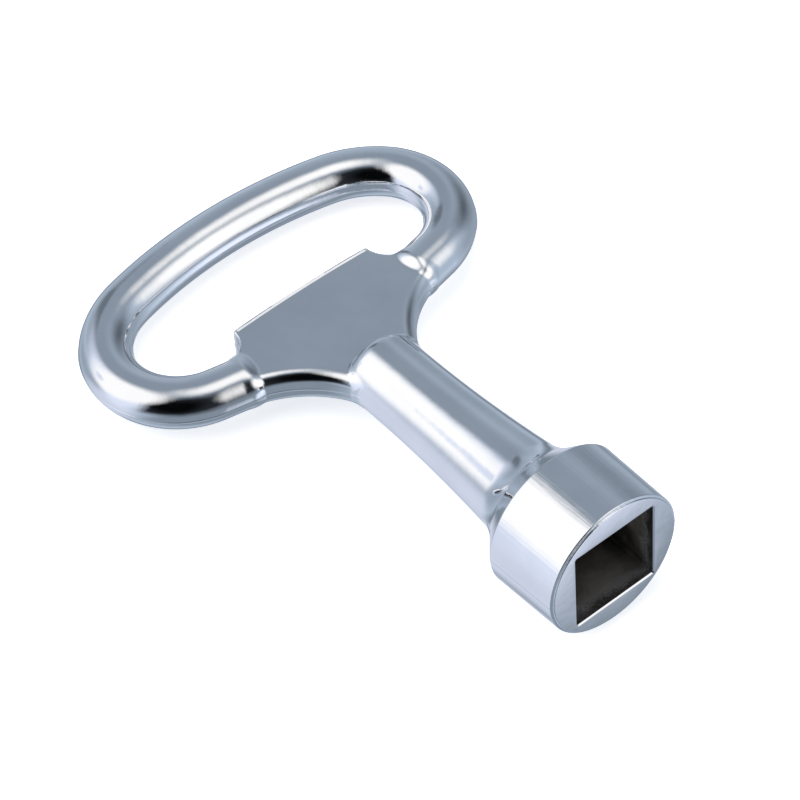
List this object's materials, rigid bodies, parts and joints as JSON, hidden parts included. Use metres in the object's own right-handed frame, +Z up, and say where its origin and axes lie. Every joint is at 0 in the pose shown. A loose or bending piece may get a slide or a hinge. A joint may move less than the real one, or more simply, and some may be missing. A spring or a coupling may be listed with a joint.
{
  "type": "radiator bleed key",
  "caption": "Cast key with a D-shaped bar bow, flat web, round waisted shank and a round head with a square socket for turning square bleed-valve spindles.",
  "frame": {"origin": "centre of the square socket's mouth, on the face of the head", "axes": "+Y along the shank from the mouth to the bow, +X across the bow, +Z up through the thickness of the web"},
  "size_m": [0.0246, 0.0338, 0.0086],
  "materials": {
    "chrome_plate": "polished"
  },
  "bodies": {
    "root": {"bow": "chrome_plate", "web": "chrome_plate", "shank": "chrome_plate", "shoulder": "chrome_plate", "socket_head": "chrome_plate"}
  },
  "joints": []
}
